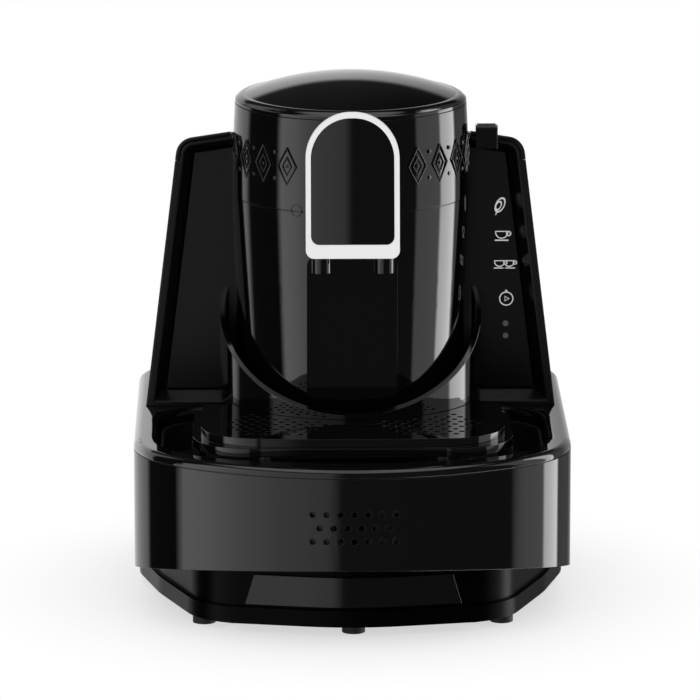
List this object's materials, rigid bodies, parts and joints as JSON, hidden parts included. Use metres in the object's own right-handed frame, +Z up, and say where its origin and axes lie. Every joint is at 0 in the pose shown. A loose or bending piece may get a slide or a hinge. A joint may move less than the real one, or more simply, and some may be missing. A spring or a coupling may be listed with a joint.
{
  "type": "electric turkish coffee maker",
  "caption": "Automatic coffee maker: round-fronted base with drip tray and cup platform, domed brewing column with a twin spout, and a lift-out rear water tank.",
  "frame": {"origin": "middle of the rest plane, centred in width and depth", "axes": "+Z up, -Y towards the front with the spout, +X to the viewer's right when the front is faced"},
  "size_m": [0.219, 0.2495, 0.2645],
  "materials": {
    "gloss_black": "gloss",
    "satin_black": "satin",
    "dark_panel": "satin",
    "silver_trim": "satin",
    "rubber_black": "matte",
    "silicone_seal": "matte",
    "stainless": "brushed",
    "aluminium_part": "satin",
    "smoked_clear": "gloss",
    "lamp_white": "satin",
    "board_green": "satin",
    "works_white": "satin"
  },
  "bodies": {
    "housing": {"drum_shell": "gloss_black", "drum_floor": "satin_black", "plinth": "gloss_black", "plinth_panel": "dark_panel", "base_plate": "satin_black", "feet": "rubber_black", "base_screws": "aluminium_part", "deck": "gloss_black", "column_shell": "gloss_black", "niche_panel": "gloss_black", "column_collar": "gloss_black", "head_shell": "gloss_black", "lid_hinge_pin": "aluminium_part", "brew_pot": "stainless", "heater_plate": "aluminium_part", "thermostat": "works_white", "valve_body": "works_white", "serving_solenoid": "aluminium_part", "spout_hood": "gloss_black", "spout_frame": "silver_trim", "badge_panel": "gloss_black", "pour_nozzles": "gloss_black", "pour_duct": "silicone_seal", "left_wing": "gloss_black", "right_wing": "gloss_black", "left_panel": "gloss_black", "control_panel": "gloss_black", "indicator_lenses": "lamp_white", "touch_board": "board_green", "tower_housing": "gloss_black", "tank_dock": "gloss_black", "dock_seal": "silicone_seal", "speaker": "satin_black", "control_board": "board_green", "water_pump": "works_white", "suction_hose": "silicone_seal", "feed_hose": "silicone_seal", "cord_gland": "rubber_black"},
    "brewing_lid": {"brew_lid": "gloss_black", "lid_liner": "satin_black", "lid_seal": "silicone_seal"},
    "tank": {"water_tank": "smoked_clear", "tank_lid_pin": "aluminium_part"},
    "tank_cap": {"tank_lid": "gloss_black"},
    "outlet_valve": {"tank_valve": "silicone_seal"},
    "platform": {"cup_platform": "gloss_black"},
    "tray": {"drip_tray": "satin_black"},
    "plunger": {"serving_plunger": "silicone_seal"}
  },
  "joints": [
    {"name": "brewing_lid_hinge", "type": "hinge", "parent": "housing", "child": "brewing_lid", "pos_m": [0, 0.0722, 0.249], "axis": [-1, 0, 0], "range_deg": [0, 70]},
    {"name": "tank_lift", "type": "slide", "parent": "housing", "child": "tank", "axis": [0, 0, 1], "range_m": [0, 0.2]},
    {"name": "tank_cap_hinge", "type": "hinge", "parent": "tank", "child": "tank_cap", "pos_m": [0, 0.123, 0.1902], "axis": [-1, 0, 0], "range_deg": [0, 95]},
    {"name": "outlet_valve_lift", "type": "slide", "parent": "tank", "child": "outlet_valve", "axis": [0, 0, 1], "range_m": [-0.0005, 0.003]},
    {"name": "platform_lift", "type": "slide", "parent": "tray", "child": "platform", "axis": [0, 0, 1], "range_m": [0, 0.04]},
    {"name": "tray_lift", "type": "slide", "parent": "housing", "child": "tray", "axis": [0, 0, 1], "range_m": [0, 0.03]},
    {"name": "plunger_pull", "type": "slide", "parent": "housing", "child": "plunger", "axis": [0, 0, -1], "range_m": [0, 0.003], "stiffness_N_per_m": 300, "springref_m": -0.002}
  ]
}
